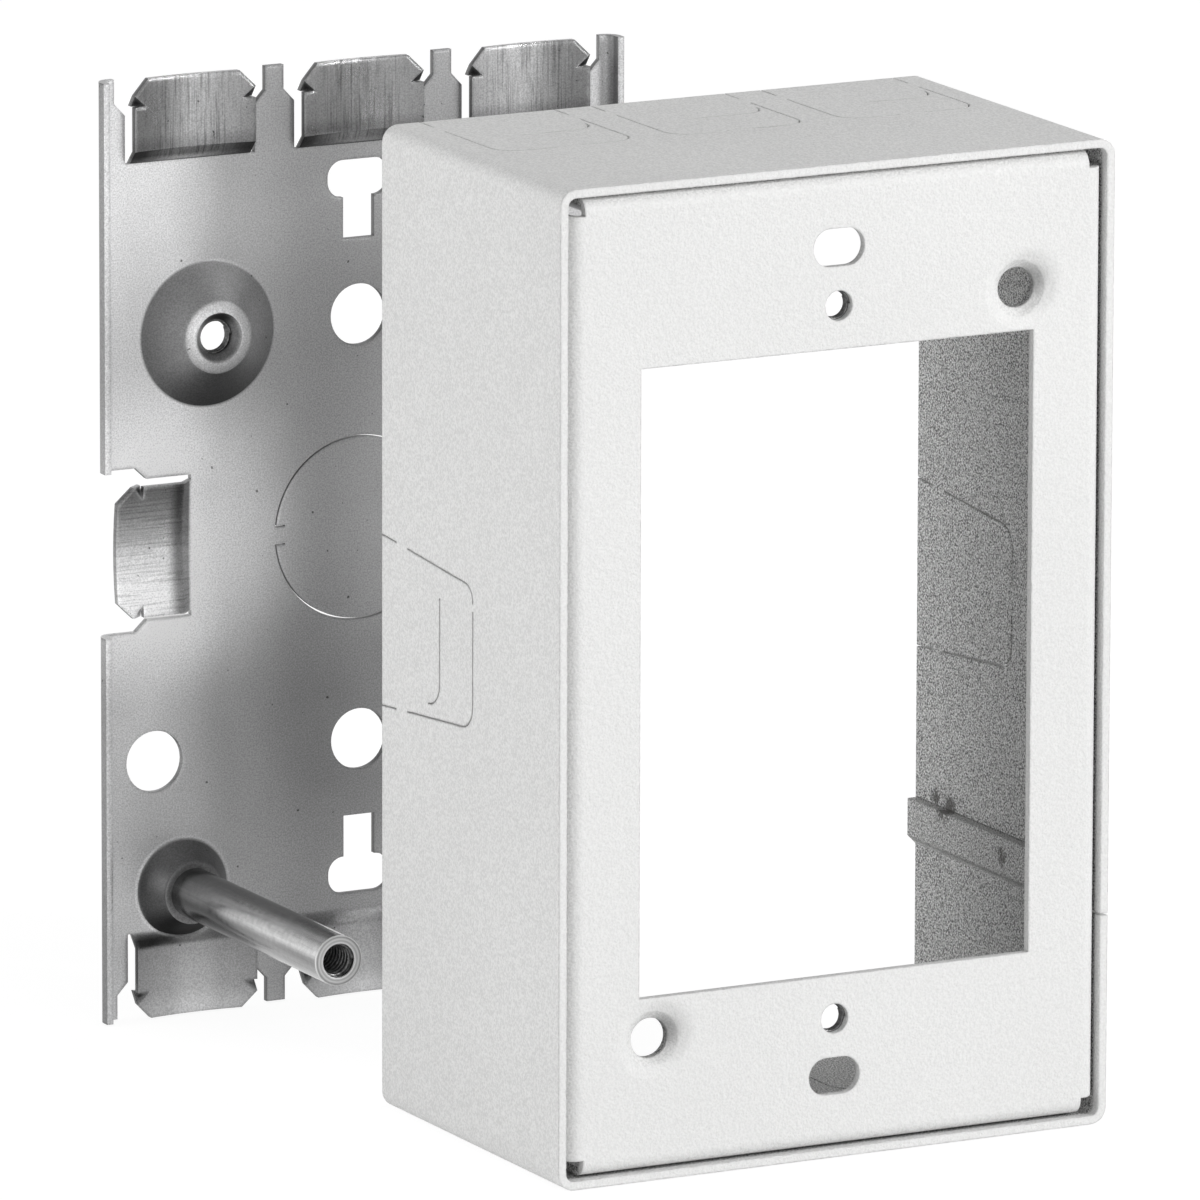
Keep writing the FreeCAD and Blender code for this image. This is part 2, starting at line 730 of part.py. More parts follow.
def lap_notch(body):
    """A notch in the right lip, so that the plate clears the lap inside the closed cover."""
    reach = cell("cover_gauge") * 2 + cell("lap_gap") + cell("lap_relief") - cell("base_clear")
    low = -cell("seam_drop") - cell("seam_gap") - cell("cover_gauge") - cell("lap_relief")
    high = -cell("seam_drop") + cell("lap_rise") + cell("lap_relief")
    sketch = new_sketch(body, "lap_notch", "XZ_Plane")
    add_box(sketch, BASE_HALF_WIDE - reach, BASE_HALF_WIDE + BEYOND, low, high)
    add_pocket(body, sketch, both_ways=True)


def slope_shift(rise, base, crown, gauge):
    """How far the corners of a cone's rear face lie inside those of its front face."""
    run = (base - crown) / 2
    slant = (run * run + rise * rise).root()
    return gauge * (slant - run) / rise


def earth_boss(body, name, side):
    """A large dome with a rolled crown and a tapped collar that reaches back inside."""
    gauge, rise = cell("base_gauge"), cell("boss_rise")
    base, crown, bore = cell("boss_base") / 2, cell("boss_crown") / 2, cell("boss_bore") / 2
    top, under = BASE_FRONT - rise, -rise
    collar = top + cell("boss_collar")
    inset = slope_shift(rise, cell("boss_base"), cell("boss_crown"), gauge)
    funnel, roll = cell("boss_funnel"), cell("boss_roll")
    flat_end = crown - roll * (base - crown) / rise
    corners = [(base, BASE_FRONT), (crown + roll * (base - crown) / rise / 2, top + roll / 2),
               (flat_end, top), (bore + funnel, top), (bore, top + funnel),
               (bore, collar), (bore + gauge, collar), (bore + gauge, under),
               (crown - inset, under), (base - inset, 0), (base, 0)]
    offset = {"x": cell("boss_across") / 2 * side, "z": cell("boss_apart") / -2 * side}
    sketch = new_sketch(body, name, "XY_Plane", offset)
    add_outline(sketch, corners)
    add_revolution(body, sketch)


def post_dome(body, name, side):
    """A small dome, pierced for the spigot of a cover post."""
    gauge, rise = cell("base_gauge"), cell("dome_rise")
    base, crown, bore = cell("dome_base") / 2, cell("dome_crown") / 2, cell("post_spigot") / 2
    top, under = BASE_FRONT - rise, -rise
    inset = slope_shift(rise, cell("dome_base"), cell("dome_crown"), gauge)
    corners = [(base, BASE_FRONT), (crown, top), (bore, top), (bore, under),
               (crown - inset, under), (base - inset, 0), (base, 0)]
    offset = {"x": cell("screw_across") / 2 * side, "z": cell("screw_apart") / 2 * side}
    sketch = new_sketch(body, name, "XY_Plane", offset)
    add_outline(sketch, corners)
    add_revolution(body, sketch)


def make_tongue():
    """One raceway tongue with its root at the origin, pointing up: a ramp and a bowed strip."""
    body = new_body("tongue_form")
    wide, ramp, long = cell("tongue_wide"), cell("tongue_ramp"), cell("tongue_long")
    half = wide / 2
    front = BASE_FRONT - cell("tongue_forward")
    flat = new_sketch(body, "tongue_root", "XY_Plane")
    add_box(flat, -half, half, BASE_FRONT, 0)
    bowed = new_sketch(body, "tongue_bow", "XY_Plane", {"z": ramp})
    add_trough(bowed, wide, front, -cell("tongue_forward"), cell("tongue_sag"))
    rise = body.newObject("PartDesign::AdditiveLoft", "tongue_rise")
    rise.Profile = (flat, [""])
    rise.Sections = [(bowed, [""])]
    rise.Ruled = True
    finish(body, rise, 0.0, True)
    add_pad(body, bowed, long - ramp)
    corner = cell("tongue_corner")
    trim = new_sketch(body, "tongue_corners", "XZ_Plane")
    for side in (-1, 1):
        add_outline(trim, [((half + BEYOND) * side, long - corner - BEYOND),
                           ((half + BEYOND) * side, long + BEYOND),
                           ((half - corner - BEYOND) * side, long + BEYOND)])
    add_pocket(body, trim, both_ways=True)
    tongue_barbs(body, half, front, long)
    return body


def tongue_barbs(body, half, front, long):
    """A corner of each side edge, sheared free and folded back so that it bites into the raceway."""
    high, wide = cell("barb_high"), cell("barb_wide")
    top = long - cell("barb_top")
    low = top - high
    shear = new_sketch(body, "barb_shears", "XZ_Plane")
    for side in (-1, 1):
        add_outline(shear, [((half + BEYOND) * side, low), ((half - wide) * side, low),
                            (half * side, top), ((half + BEYOND) * side, top)])
    add_pocket(body, shear, both_ways=True)
    inner = (half - wide) / half
    bow = cell("tongue_sag") * (inner * inner)
    root = front + cell("tongue_sag") - bow + cell("barb_step")
    tip = front + cell("barb_deep")
    gauge = cell("base_gauge")
    for name, side in (("right", 1), ("left", -1)):
        sketch = new_sketch(body, "barb_" + name, "XY_Plane", {"z": low})
        add_outline(sketch, [((half - wide) * side, root), (half * side, tip),
                             (half * side, tip + gauge), ((half - wide) * side, root + gauge)])
        before = volume_of(body)
        fold = body.newObject("PartDesign::Pad", f"barb_{name}_fold")
        fold.Profile = (sketch, [""])
        fold.UseCustomVector = True
        fold.setExpression("Direction.x", (wide * side).formula)
        fold.setExpression("Direction.y", (front - root).formula)
        fold.setExpression("Direction.z", high.formula)
        fold.setExpression("Length", high.formula)
        finish(body, fold, before, True)
    trim = new_sketch(body, "barb_trims", "XZ_Plane")
    for side in (-1, 1):
        add_box(trim, half * side, (half + wide + BEYOND) * side, low - BEYOND, top + BEYOND)
    add_pocket(body, trim, both_ways=True)


def tongue_copies(form):
    """The eight places of the tongue on the plate."""
    root = BASE_HALF_TALL - cell("tongue_long")
    side_root = BASE_HALF_WIDE - cell("side_inset") - cell("tongue_long")
    places = []
    for column in (-1, 0, 1):
        places.append((cell("tongue_pitch") * column, root, 0))
        places.append((cell("tongue_pitch") * column, -root, 180))
    places.append((side_root, as_size(0), 90))
    places.append((-side_root, as_size(0), -90))
    copies = []
    for number, (x, z, turn) in enumerate(places, start=1):
        copy = doc.addObject("App::Link", f"tongue_{number}")
        copy.LinkedObject = form
        copy.Placement = FreeCAD.Placement(FreeCAD.Vector(x.value, 0, z.value),
                                           FreeCAD.Rotation(FreeCAD.Vector(0, 1, 0), turn))
        copy.setExpression("Placement.Base.x", x.formula)
        copy.setExpression("Placement.Base.z", z.formula)
        copies.append(copy)
    doc.recompute()
    return copies


def make_base_plate():
    """The galvanised plate: sheet, windows, holes and domes, with its tongues fused on."""
    blank = new_body("plate_blank")
    lipped_sheet(blank)
    tongue_windows(blank)
    plate_holes(blank)
    round_knockout(blank)
    lap_notch(blank)
    earth_boss(blank, "boss_upper_left", -1)
    earth_boss(blank, "boss_lower_right", 1)
    post_dome(blank, "dome_lower_left", -1)
    post_dome(blank, "dome_upper_right", 1)
    plate = doc.addObject("Part::MultiFuse", "base_plate")
    plate.Label = "base_plate"
    plate.Shapes = [blank] + tongue_copies(make_tongue())
    plate.Refine = True
    place(plate, BASE_HALF_WIDE - SET_WIDE / 2, SET_DEEP / 2, BASE_HALF_TALL)
    return plate


# Cover posts

def make_post(name, side):
    """A turned post: riveted spigot, shank on the dome's crown and a blind threaded bore."""
    body = new_body(name)
    seat = BASE_FRONT - cell("dome_rise")
    under = -cell("dome_rise")
    head = under + cell("post_rivet_high")
    shank, bore = cell("post_wide") / 2, cell("post_bore") / 2
    spigot, rivet = cell("post_spigot") / 2, cell("post_rivet") / 2
    floor = POST_TIP + cell("post_bore_deep")
    corners = [(0, head), (rivet, head), (rivet, under), (spigot, under), (spigot, seat),
               (shank, seat), (shank, POST_TIP), (bore, POST_TIP), (bore, floor), (0, floor)]
    sketch = new_sketch(body, "profile", "XY_Plane")
    add_outline(sketch, corners)
    add_revolution(body, sketch)
    place(body, BASE_HALF_WIDE - SET_WIDE / 2 + cell("screw_across") / 2 * side, SET_DEEP / 2,
          BASE_HALF_TALL + cell("screw_apart") / 2 * side)
    return body


# Checks and output

def check_document(pieces):
    """Stop if any object failed or any piece is not one valid solid."""
    doc.recompute()
    for item in doc.Objects:
        if "Invalid" in item.State or "Error" in item.State:
            raise ValueError(f"{item.Name} failed: {item.State}")
    for piece in pieces:
        shape = piece.Shape
        if shape.isNull() or not shape.isValid() or len(shape.Solids) != 1:
            raise ValueError(f"{piece.Label} is not one valid solid")


def write_parts(pieces):
    """Write each piece under its own name."""
    os.makedirs("parts", exist_ok=True)
    for piece in pieces:
        piece.Shape.exportStep(f"parts/{piece.Label}.step")
        box = piece.Shape.BoundBox
        print(f"{piece.Label}: volume {piece.Shape.Volume:.1f}, "
              f"x {box.XMin:.2f} to {box.XMax:.2f}, y {box.YMin:.2f} to {box.YMax:.2f}, "
              f"z {box.ZMin:.2f} to {box.ZMax:.2f}")


pieces = [
    make_cover_sleeve(),
    make_face_plate(),
    make_base_plate(),
    make_post("post_lower_left", -1),
    make_post("post_upper_right", 1),
]
check_document(pieces)
write_parts(pieces)
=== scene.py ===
import math

import bmesh
import bpy
from mathutils import Matrix, Vector


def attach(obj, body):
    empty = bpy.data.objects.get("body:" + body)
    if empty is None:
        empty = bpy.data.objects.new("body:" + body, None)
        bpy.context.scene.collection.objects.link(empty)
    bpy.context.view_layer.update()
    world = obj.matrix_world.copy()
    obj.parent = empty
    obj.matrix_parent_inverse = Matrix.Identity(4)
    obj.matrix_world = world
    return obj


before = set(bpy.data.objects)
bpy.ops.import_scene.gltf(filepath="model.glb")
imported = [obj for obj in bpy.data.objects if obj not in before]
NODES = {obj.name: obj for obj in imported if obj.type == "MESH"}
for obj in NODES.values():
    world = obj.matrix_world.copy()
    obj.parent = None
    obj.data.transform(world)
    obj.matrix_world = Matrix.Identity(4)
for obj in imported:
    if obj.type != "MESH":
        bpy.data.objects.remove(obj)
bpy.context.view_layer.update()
MM = 0.001
SIDES = (-1, 1)

# Camera: place, heading and lens found from the corners of the cover in the photograph
CAMERA_AT = Vector((-0.84976, -1.62427, 0.4592))
CAMERA_YAW = 27.63
CAMERA_PITCH = 12.39
CAMERA_ROLL = 0.16
CAMERA_LENS = 483.33

# The middles of the cover and of the base plate, in millimetres
COVER_X, COVER_Z = 5.55, 58.0
BASE_X, BASE_Z = -6.85, 56.7

# Places along Y, in millimetres; the face's back and the cover's rear are rounded
COVER_FRONT, FACE_BACK, COVER_REAR = -48.7, -47.4, -4.0
DEVICE_MOUTH, POST_END, DOME_TOP = -47.95, 6.6, 45.6
WALL = 48.7

# Distances from the cover's middle: its hollow, the device screws and the lap in the right wall
INSIDE_X, INSIDE_Z = 34.85, 57.15
DEVICE_Z = 41.65
LAP_X, LAP_TOP, LAP_BOTTOM = 34.2, -28.4, -33.2

# Distances from either middle: the cover screws and their posts, on one diagonal
SCREW_X, SCREW_Z = 23.5, 41.5

# Distances from the base plate's middle: the earth domes, and the tongues' roots and tips
DOME_X, DOME_Z = 20.0, 25.3
END_ROOT, END_TIP = 47.0, 57.2
SIDE_ROOT, SIDE_TIP = 22.4, 32.6
TONGUE_PITCH, TONGUE_HALF = 22.2, 8.0

# Threads, in millimetres; a ridge's foot and crest are given as shares of the pitch
POST_THREAD = {"radius": 2.05, "length": 13.0, "pitch": 0.8, "depth": 0.35}
EARTH_THREAD = {"radius": 2.1, "length": 1.7, "pitch": 0.55, "depth": 0.28}
DEVICE_THREAD = {"radius": 1.75, "length": 1.55, "pitch": 0.5, "depth": 0.22}
STEPS_PER_TURN = 28
THREAD_SUNK = 0.02
FOOT_SHARE, CREST_SHARE = 0.42, 0.06

# Colours of the coat, the marks and painted shade on it, and the zinc
COAT_LOW, COAT_HIGH = (0.722, 0.722, 0.717), (0.79, 0.79, 0.785)
LAP_SHADE, SCORCH, DISH_SHADE = (0.08, 0.08, 0.075), (0.06, 0.055, 0.05), (0.16, 0.16, 0.16)
ZINC_LOW, ZINC_HIGH = (0.64, 0.64, 0.645), (0.74, 0.74, 0.745)

# Floor: side and drop in metres, and the strength and share of the white that the camera sees
FLOOR_SIDE, FLOOR_DROP = 8, 0.0002
FLOOR_GLOW, FLOOR_SHARE = 1.12, 0.82

# Light: the world's strength, and each lamp's place, side and power
WORLD_LIGHT = 0.435
LAMP_AIM = Vector((0, 0, 0.06))
LAMPS = (("front", (-0.05, -1.25, 0.3), 0.4, 2.2),
         ("right", (0.85, -1.0, 0.66), 0.3, 10.6),
         ("left", (-1.25, 0.12, 0.4), 0.8, 6.6))


def set_camera():
    """The camera of the photograph."""
    yaw, pitch, roll = (math.radians(a) for a in (CAMERA_YAW, CAMERA_PITCH, CAMERA_ROLL))
    ahead = Vector((math.sin(yaw) * math.cos(pitch), math.cos(yaw) * math.cos(pitch),
                    -math.sin(pitch)))
    right = Vector((math.cos(yaw), -math.sin(yaw), 0))
    up = right.cross(ahead)
    turned_right = right * math.cos(roll) + up * math.sin(roll)
    turned_up = up * math.cos(roll) - right * math.sin(roll)
    data = bpy.data.cameras.new("camera")
    data.lens = CAMERA_LENS
    data.sensor_width = 36
    data.clip_start = 0.01
    data.clip_end = 20
    camera = bpy.data.objects.new("camera", data)
    rotation = Matrix((turned_right, turned_up, -ahead)).transposed()
    camera.matrix_world = Matrix.Translation(CAMERA_AT) @ rotation.to_4x4()
    bpy.context.scene.collection.objects.link(camera)
    bpy.context.scene.camera = camera


# Materials

class Nodes:
    """A new node material with its shader, and short calls that add and join nodes."""

    def __init__(self, name):
        self.material = bpy.data.materials.new(name)
        self.material.use_nodes = True
        self.tree = self.material.node_tree
        self.shader = self.tree.nodes["Principled BSDF"]

    def add(self, kind, **inputs):
        """A new node with values on the inputs named."""
        node = self.tree.nodes.new(kind)
        for name, value in inputs.items():
            node.inputs[name.replace("_", " ")].default_value = value
        return node

    def join(self, output, target):
        """A link from an output to an input."""
        self.tree.links.new(output, target)

    def where(self):
        """Object coordinates, in metres."""
        return self.add("ShaderNodeTexCoord").outputs["Object"]

    def coordinate(self, axis):
        """One object coordinate, in metres."""
        node = self.add("ShaderNodeSeparateXYZ")
        self.join(self.where(), node.inputs["Vector"])
        return node.outputs[axis]

    def stretched(self, scale):
        """Object coordinates scaled along each axis."""
        mapping = self.add("ShaderNodeMapping")
        mapping.inputs["Scale"].default_value = scale
        self.join(self.where(), mapping.inputs["Vector"])
        return mapping.outputs["Vector"]

    def noise(self, scale, detail, roughness, vector=None):
        """A noise value from 0 to 1."""
        node = self.add("ShaderNodeTexNoise", Scale=scale, Detail=detail, Roughness=roughness)
        self.join(vector or self.where(), node.inputs["Vector"])
        return node.outputs["Fac"]

    def ramp(self, factor, *stops):
        """A colour ramp, eased through (place, grey or colour) stops."""
        node = self.add("ShaderNodeValToRGB")
        node.color_ramp.interpolation = "EASE"
        elements = node.color_ramp.elements
        while len(elements) < len(stops):
            elements.new(0.5)
        for element, (place, colour) in zip(elements, stops):
            element.position = place
            colour = (colour,) * 3 if isinstance(colour, (int, float)) else colour
            element.color = (*colour, 1)
        self.join(factor, node.inputs["Fac"])
        return node.outputs["Color"]

    def span(self, value, low, high, first=0.0, last=1.0):
        """A value from low to high turned into one from first to last, held at both ends."""
        node = self.add("ShaderNodeMapRange",
                        From_Min=low, From_Max=high, To_Min=first, To_Max=last)
        self.join(value, node.inputs["Value"])
        return node.outputs["Result"]

    def math(self, kind, *values):
        """A math node on values or sockets."""
        node = self.add("ShaderNodeMath")
        node.operation = kind
        for socket, value in zip(node.inputs, values):
            if isinstance(value, (int, float)):
                socket.default_value = value
            else:
                self.join(value, socket)
        return node.outputs["Value"]

    def product(self, first, *others):
        """The product of numbers or sockets."""
        for other in others:
            first = self.math("MULTIPLY", first, other)
        return first

    def vector(self, kind, value, fixed=(0, 0, 0)):
        """A vector math node on a socket and a fixed vector."""
        node = self.add("ShaderNodeVectorMath")
        node.operation = kind
        self.join(value, node.inputs[0])
        node.inputs[1].default_value = fixed
        return node

    def towards(self, direction):
        """How far the surface faces a direction, from -1 to 1."""
        normal = self.add("ShaderNodeNewGeometry").outputs["Normal"]
        return self.vector("DOT_PRODUCT", normal, direction).outputs["Value"]

    def mix(self, factor, first, second, blend="MIX"):
        """Two colours or greys mixed by a factor."""
        node = self.add("ShaderNodeMix")
        node.data_type = "RGBA"
        node.blend_type = blend
        if isinstance(factor, (int, float)):
            node.inputs[0].default_value = factor
        else:
            self.join(factor, node.inputs[0])
        for socket, value in ((node.inputs[6], first), (node.inputs[7], second)):
            if isinstance(value, (int, float)):
                socket.default_value = (value, value, value, 1)
            elif isinstance(value, tuple):
                socket.default_value = (*value, 1)
            else:
                self.join(value, socket)
        return node.outputs[2]

    def times(self, first, second):
        """One colour multiplied by another."""
        return self.mix(1.0, first, second, "MULTIPLY")

    def bump(self, height, strength, distance, normal):
        """A normal with a bump from a height."""
        node = self.add("ShaderNodeBump", Strength=strength, Distance=distance)
        self.join(height, node.inputs["Height"])
        self.join(normal, node.inputs["Normal"])
        return node.outputs["Normal"]

    def soft_edges(self, radius):
        """Normals that turn softly over sharp edges."""
        node = self.add("ShaderNodeBevel", Radius=radius)
        node.samples = 3
        return node.outputs["Normal"]


def distance(n, value, middle):
    """How far a coordinate is from a middle given in millimetres, in metres."""
    return n.math("ABSOLUTE", n.math("SUBTRACT", value, middle * MM))


def within(n, value, middle, half, soft):
    """1 where a coordinate is less than half from a middle, in millimetres, with soft ends."""
    return n.span(distance(n, value, middle), (half - soft) * MM, (half + soft) * MM, 1.0, 0.0)


def beyond(n, value, middle, half, soft):
    """1 where a coordinate is more than half from a middle, in millimetres, with soft ends."""
    return n.math("SUBTRACT", 1.0, within(n, value, middle, half, soft))


def nearness(n, point, reach, axes=(1, 1, 1)):
    """1 at a point given in millimetres, falling to 0 at reach; an axis with 0 is left out."""
    shift = n.vector("SUBTRACT", n.where(), [c * MM for c in point]).outputs["Vector"]
    kept = n.vector("MULTIPLY", shift, axes).outputs["Vector"]
    length = n.vector("LENGTH", kept).outputs["Value"]
    return n.span(length, 0.0, reach * MM, 1.0, 0.0)


def around(n, x, z, reach):
    """1 on a line that runs along Y, falling to 0 at reach."""
    return nearness(n, (x, 0, z), reach, (1, 0, 1))


def speckle_and_painted_shade(n, y):
    """The thin coat inside the cover: coarse dark speckle, and painted shade that makes it darker
    towards the front and lighter towards the rear.
    """
    speckle = n.ramp(n.noise(5000, 0.8, 0.7), (0.34, 0.08), (0.5, 0.74), (0.62, 1.2))
    # Painted shade: darker towards the front, deep inside the box
    return n.times(speckle, n.span(y, COVER_FRONT * MM, COVER_REAR * MM, 0.8, 1.1))


def lap_shade_lines(n, tone, zone, z):
    """Painted shade where zone is 1: a sharp dark line over the lap tab and a soft one under it."""
    # Painted shade along the lap tab's upper edge and under it
    for height, half, soft, dark in ((LAP_TOP + 0.1, 0.07, 0.05, 0.8), (LAP_BOTTOM, 0.3, 0.3, 0.5)):
        line = within(n, z, COVER_Z + height, half, soft)
        tone = n.mix(n.product(line, zone, dark), tone, LAP_SHADE)
    return tone


def scorch_marks(n, tone):
    """Ragged burnt spots by the lap's welds, on the inside of the right wall."""
    for behind, height, reach in ((21.6, -30.6, 2.6), (36.0, -28.0, 3.4), (39.5, -27.4, 2.2)):
        mark = nearness(n, (COVER_X + LAP_X, COVER_FRONT + behind, COVER_Z + height), reach)
        ragged = n.product(n.noise(1900, 3, 0.75), 0.6)
        burnt = n.ramp(n.math("ADD", n.product(mark, 0.4), ragged), (0.5, 0.0), (0.56, 1.0))
        tone = n.mix(n.product(burnt, 0.8), tone, SCORCH)
    return tone


def dish_shades(n, tone, y):
    """Shade in the two dished holes on the front, off their middles to the upper right."""
    front = n.math("LESS_THAN", y, (COVER_FRONT + 2) * MM)
    for side in SIDES:
        middle_x, middle_z = COVER_X + SCREW_X * side + 1.7, COVER_Z + SCREW_Z * side + 0.8
        dish = around(n, middle_x, middle_z, 4.4)
        shade = n.product(n.ramp(dish, (0.0, 0.0), (0.4, 0.14), (0.85, 0.62)), front)
        tone = n.mix(shade, tone, DISH_SHADE)
    return tone


def powder_coat():
    """Off-white textured powder coat: fine orange peel; thinner and speckled inside the cover, with
    painted shade inside it, along the lap and in the dished holes.
    """
    n = Nodes("powder_coat")
    x, y, z = (n.coordinate(axis) for axis in "XYZ")
    grain = n.noise(3600, 1.5, 0.65)
    peel = n.noise(1500, 2, 0.55)
    tone = n.ramp(grain, (0.3, COAT_LOW), (0.68, COAT_HIGH))
    not_front = n.math("GREATER_THAN", n.towards((0, 1, 0)), -0.8)
    tone = n.mix(not_front, tone, n.times(tone, n.ramp(grain, (0.34, 0.93), (0.66, 1.05))))
    tone = n.times(tone, n.ramp(n.noise(26, 2, 0.5), (0.3, 0.97), (0.7, 1.0)))
    inside = n.product(within(n, x, COVER_X, INSIDE_X, 0.1), within(n, z, COVER_Z, INSIDE_Z, 0.1),
                       n.span(y, (FACE_BACK - 0.2) * MM, (FACE_BACK + 0.2) * MM))
    tone = n.mix(inside, tone, n.times(tone, speckle_and_painted_shade(n, y)))
    right_wall = n.product(inside, n.math("GREATER_THAN", x, (COVER_X + LAP_X - 1.2) * MM))
    tone = lap_shade_lines(n, tone, right_wall, z)
    tone = scorch_marks(n, tone)
    tone = dish_shades(n, tone, y)
    n.join(tone, n.shader.inputs["Base Color"])
    n.join(n.ramp(peel, (0.3, 0.48), (0.7, 0.6)), n.shader.inputs["Roughness"])
    normal = n.soft_edges(0.35 * MM)
    normal = n.bump(peel, 0.7, 0.15 * MM, normal)
    normal = n.bump(grain, 0.7, 0.11 * MM, normal)
    n.join(normal, n.shader.inputs["Normal"])
    return n.material


def plate_painted_light(n, x, z):
    """Painted light on the flat plate: bright at the left, with painted shade towards the middle,
    the cover's painted shadow below the middle, and darker towards the bottom.
    """
    wander = n.product(n.math("SUBTRACT", n.noise(30, 2, 0.5), 0.5), 16 * MM)
    across = n.span(n.math("ADD", x, wander), (BASE_X - 34) * MM, (BASE_X + 34) * MM)
    # Painted highlight at the left, fading to painted shade towards the middle
    painted_light = n.ramp(across, (0.0, 1.06), (0.12, 1.1), (0.26, 0.7), (0.42, 0.55), (0.7, 0.7),
                   (1.0, 0.92))
    # Painted bright patch at the left, a little above the middle
    painted_glow = n.ramp(around(n, BASE_X - 26, BASE_Z + 2, 23), (0.0, 0.0), (0.7, 0.5))
    painted_light = n.mix(1.0, painted_light, painted_glow, "ADD")
    # Painted shadow of the cover, below and right of the middle
    shade = n.ramp(around(n, BASE_X + 5, BASE_Z - 22, 24), (0.0, 1.0), (0.75, 0.76))
    painted_light = n.times(painted_light, shade)
    # Painted shade: darker towards the bottom
    return n.times(painted_light, n.span(z, (BASE_Z - 50) * MM, (BASE_Z - 10) * MM, 0.78))


def tongue_zones(n, x, z):
    """1 on the end tongues, 1 on the side tongues, and x from the middle of each end tongue."""
    across = n.math("SUBTRACT", x, BASE_X * MM)
    column = n.math("ROUND", n.math("DIVIDE", across, TONGUE_PITCH * MM))
    offset = n.math("SUBTRACT", across, n.product(column, TONGUE_PITCH * MM))
    ends = n.product(beyond(n, z, BASE_Z, END_ROOT, 0.3), within(n, offset, 0, TONGUE_HALF, 0.1))
    sides = n.product(beyond(n, x, BASE_X, SIDE_ROOT, 0.3),
                      within(n, z, BASE_Z, TONGUE_HALF - 0.1, 0.2))
    return ends, sides, offset


def end_tongue_painted_light(n, z, offset, lower):
    """Painted light on the end tongues: painted shade at the root, a painted highlight down the
    middle, and darker where lower is 1.
    """
    reach = n.span(distance(n, z, BASE_Z), END_ROOT * MM, END_TIP * MM)
    # Painted shade at the root, lighter towards the tip, and darker on the lower tongues
    painted_root_shade = n.ramp(reach, (0.0, 0.4), (0.14, 0.5), (0.32, 0.74), (0.8, 0.82), (0.97, 1.0))
    painted_root_shade = n.mix(lower, painted_root_shade, n.ramp(reach, (0.1, 0.46), (0.6, 0.54), (0.9, 0.72)))
    aside = n.math("DIVIDE", n.math("ABSOLUTE", offset), TONGUE_HALF * MM)
    # Painted highlight down the middle of each tongue, darker towards its sides
    return n.times(painted_root_shade, n.ramp(aside, (0.1, 1.1), (0.5, 0.86), (0.95, 0.72)))


def side_tongue_painted_light(n, x, z):
    """Painted light on the side tongues: painted shade at the root and towards the upper edge,
    lighter towards the lower edge.
    """
    reach = n.span(distance(n, x, BASE_X), SIDE_ROOT * MM, SIDE_TIP * MM)
    # Painted shade at the root, lighter towards the tip
    painted_root_shade = n.ramp(reach, (0.0, 0.3), (0.18, 0.28), (0.36, 1.0), (1.0, 1.0))
    height = n.span(z, (BASE_Z - TONGUE_HALF) * MM, (BASE_Z + TONGUE_HALF) * MM)
    # Painted light: lighter towards the lower edge, painted shade towards the upper edge
    return n.times(painted_root_shade, n.ramp(height, (0.1, 1.3), (0.45, 1.1), (0.62, 0.78), (0.95, 0.62)))


def streaked(n, zone, scale, tone):
    """Draw marks along one axis where zone is 1."""
    marks = n.ramp(n.noise(1.0, 3, 0.7, n.stretched(scale)), (0.35, 0.5), (0.52, 1.0), (0.7, 1.2))
    return n.mix(n.product(zone, 0.85), tone, n.times(tone, marks))


def dome_painted_light(n, tone, x, z):
    """Painted light on the domes: painted shade on the earth domes with a painted highlight ring at
    the crown, lighter to the upper right, and painted shade on the post domes.
    """
    slant = n.math("ADD", n.product(x, 0.5), n.product(z, 0.85))
    for side in SIDES:
        dome_x, dome_z = BASE_X + DOME_X * side, BASE_Z - DOME_Z * side
        dome = around(n, dome_x, dome_z, 9.2)
        # Painted shade on the dome's cone and round its hole, with a painted highlight ring at the
        # crown
        rings = n.ramp(dome, (0.02, 1.0), (0.07, 0.28), (0.5, 0.38), (0.58, 0.8), (0.66, 1.02),
                       (0.72, 0.42))
        # Painted light: the dome lighter to the upper right, darker to the lower left
        level = dome_x * 0.5 + dome_z * 0.85
        lift = n.span(slant, (level - 7) * MM, (level + 7) * MM, 0.78, 1.75)
        tone = n.times(tone, rings)
        tone = n.mix(n.span(dome, 0.02, 0.08), tone, n.times(tone, lift))
        # Painted shade on the post's dome, deepest by the post, with a faint bright rim
        foot = around(n, BASE_X + SCREW_X * side, BASE_Z + SCREW_Z * side, 6.5)
        tone = n.times(tone, n.ramp(foot, (0.01, 1.0), (0.05, 1.2), (0.13, 0.42), (0.9, 0.22)))
    return tone


